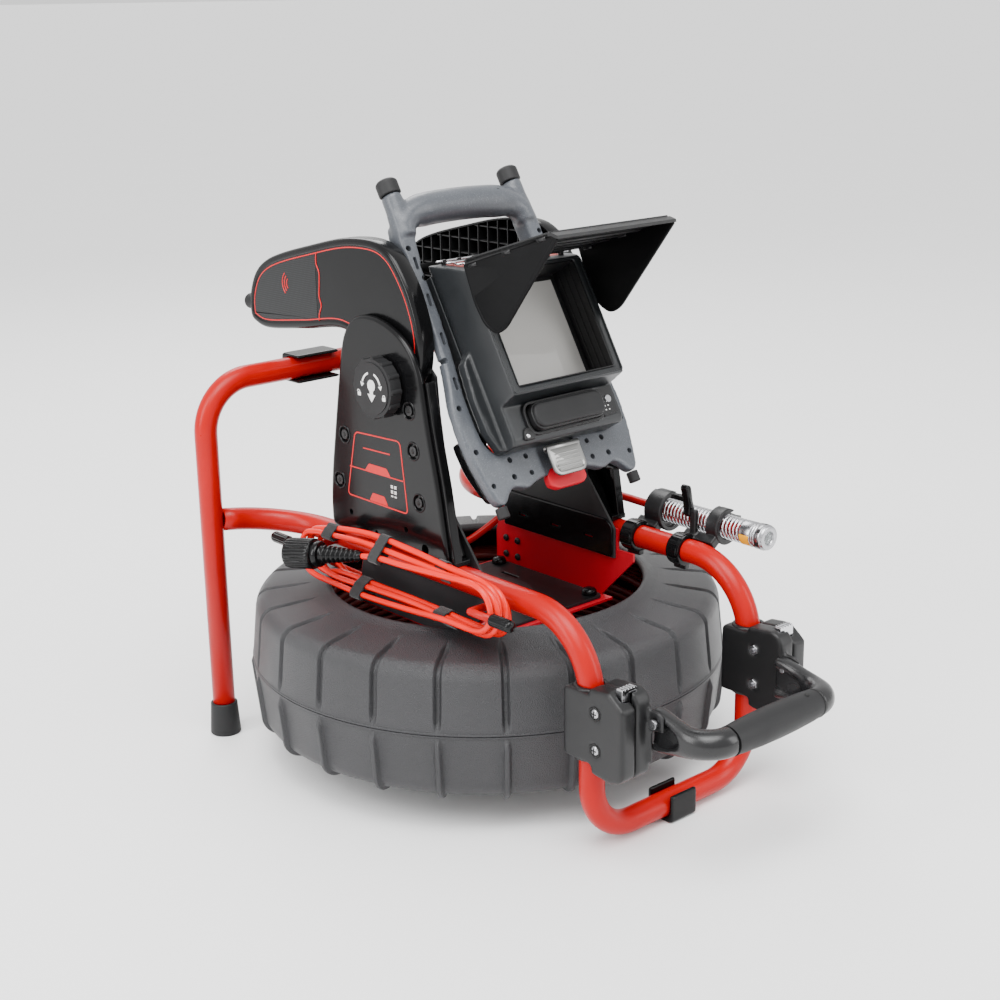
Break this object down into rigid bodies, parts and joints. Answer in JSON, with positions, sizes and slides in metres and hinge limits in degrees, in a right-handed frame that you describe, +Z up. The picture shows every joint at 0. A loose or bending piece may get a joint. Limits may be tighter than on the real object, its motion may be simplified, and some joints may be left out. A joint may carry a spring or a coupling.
{
  "type": "drain inspection camera reel",
  "caption": "Flat cable drum in a tube frame with a tilting cradle, docked monitor with sunshade, folding handle, clipped camera head and hung system cable.",
  "frame": {"origin": "centre of the bounding box in plan, on the floor under the feet", "axes": "+X to the object's right, +Y to the rear leg frame, -Y to the folding front handle, +Z up along the drum axis"},
  "size_m": [0.53, 0.705, 0.6355],
  "materials": {
    "tube_red": "glossy powder coat on steel tube",
    "sheet_red": "satin powder coat on folded steel sheet",
    "sheet_black": "satin black powder coat",
    "rubber_black": "matt moulded rubber",
    "plastic_black": "fine textured moulded plastic",
    "gloss_black": "glossy moulded plastic",
    "drum_grey": "coarse grained blow moulded polyethylene",
    "monitor_grey": "satin grey moulded plastic",
    "housing_grey": "satin dark grey moulded plastic",
    "screen_glass": "anti glare glass over a lit panel",
    "steel": "brushed stainless steel",
    "chrome_steel": "polished stainless steel",
    "brass": "turned brass",
    "cable_orange": "glossy orange red cable jacket",
    "push_cable": "dull dark red push cable jacket",
    "lens_glass": "clear sapphire window",
    "band_yellow": "yellow film label"
  },
  "bodies": {
    "frame": {"front_loop_tube": "tube_red", "rear_leg_frame": "tube_red", "leg_feet": "rubber_black", "loop_foot_clip": "gloss_black", "top_bar_clip": "gloss_black", "hub_bracket": "sheet_red", "bracket_cover": "sheet_black", "frame_screws": "sheet_black", "hub_shaft": "steel", "slip_ring": "brass", "hub_nut": "steel", "dock_plate_left": "sheet_black", "dock_plate_right": "sheet_black", "side_cover_left": "gloss_black", "side_cover_right": "gloss_black", "tilt_bolts": "steel", "push_cable_lead": "push_cable", "clamp_outer_shells": "plastic_black", "clamp_inner_shells": "plastic_black", "clamp_screws": "steel", "hinge_pins": "steel", "camera_clip_rear": "plastic_black", "camera_clip_front": "plastic_black", "camera_head": "chrome_steel", "camera_window": "lens_glass", "camera_band": "band_yellow", "camera_spring": "chrome_steel", "cable_cleat": "tube_red", "cleat_caps": "gloss_black", "system_cable_hank": "cable_orange", "system_cable_lead": "cable_orange", "cable_connector": "gloss_black"},
    "drum": {"drum_upper": "drum_grey", "drum_lower": "drum_grey", "drum_hub": "plastic_black", "hub_bearings": "steel", "push_cable_coil": "push_cable"},
    "knob_left": {"lock_knob_left": "plastic_black"},
    "knob_right": {"lock_knob_right": "plastic_black"},
    "cradle": {"arm_left": "gloss_black", "arm_right": "gloss_black", "arm_cross_tube": "steel", "arm_end_knobs": "plastic_black"},
    "monitor": {"monitor_frame": "monitor_grey", "monitor_housing": "housing_grey", "monitor_back": "housing_grey", "screen_panel": "screen_glass", "monitor_grip": "monitor_grey", "corner_caps": "rubber_black", "keypad": "plastic_black"},
    "battery": {"battery_pack": "plastic_black"},
    "power_key": {"power_button": "plastic_black"},
    "latch": {"latch_flap": "steel"},
    "sunshade": {"sunshade_top": "plastic_black", "sunshade_flaps": "plastic_black"},
    "release_left": {"release_button_left": "chrome_steel"},
    "release_right": {"release_button_right": "chrome_steel"},
    "handle": {"handle_arms": "plastic_black", "handle_grip": "rubber_black"},
    "lever": {"clip_lever": "plastic_black"}
  },
  "joints": [
    {"name": "drum_spin", "type": "hinge", "parent": "frame", "child": "drum", "pos_m": [0, 0.0755, 0.1], "axis": [0, 0, 1], "continuous": true},
    {"name": "knob_left_turn", "type": "hinge", "parent": "frame", "child": "knob_left", "pos_m": [-0.14, 0.0815, 0.428], "axis": [1, 0, 0], "range_deg": [0, 90]},
    {"name": "knob_right_turn", "type": "hinge", "parent": "frame", "child": "knob_right", "pos_m": [0.14, 0.0815, 0.428], "axis": [1, 0, 0], "range_deg": [0, 90]},
    {"name": "cradle_tilt", "type": "hinge", "parent": "frame", "child": "cradle", "pos_m": [0, 0.0815, 0.428], "axis": [1, 0, 0], "range_deg": [-5, 15]},
    {"name": "monitor_lift_off", "type": "slide", "parent": "cradle", "child": "monitor", "axis": [0, -0.8616, 0.5075], "range_m": [0, 0.1]},
    {"name": "battery_slide", "type": "slide", "parent": "monitor", "child": "battery", "axis": [0, -0.8616, 0.5075], "range_m": [0, 0.03]},
    {"name": "power_press", "type": "slide", "parent": "monitor", "child": "power_key", "axis": [0, 0.8616, -0.5075], "range_m": [0, 0.0008], "stiffness_N_per_m": 400},
    {"name": "latch_hinge", "type": "hinge", "parent": "monitor", "child": "latch", "pos_m": [0, -0.0457, 0.36346], "axis": [1, 0, 0], "range_deg": [-60, 0]},
    {"name": "sunshade_fold", "type": "hinge", "parent": "monitor", "child": "sunshade", "pos_m": [0, 0.00692, 0.5582], "axis": [1, 0, 0], "range_deg": [0, 65]},
    {"name": "release_left_press", "type": "slide", "parent": "frame", "child": "release_left", "axis": [0, 0, -1], "range_m": [0, 0.005], "stiffness_N_per_m": 600},
    {"name": "release_right_press", "type": "slide", "parent": "frame", "child": "release_right", "axis": [0, 0, -1], "range_m": [0, 0.005], "stiffness_N_per_m": 600},
    {"name": "handle_fold", "type": "hinge", "parent": "frame", "child": "handle", "pos_m": [0, -0.2775, 0.156], "axis": [1, 0, 0], "range_deg": [-80, 0]},
    {"name": "clip_lever_turn", "type": "hinge", "parent": "frame", "child": "lever", "pos_m": [0.1295, -0.1085, 0.277], "axis": [0, 1, 0], "range_deg": [-35, 0], "stiffness_Nm_per_rad": 0.3}
  ]
}
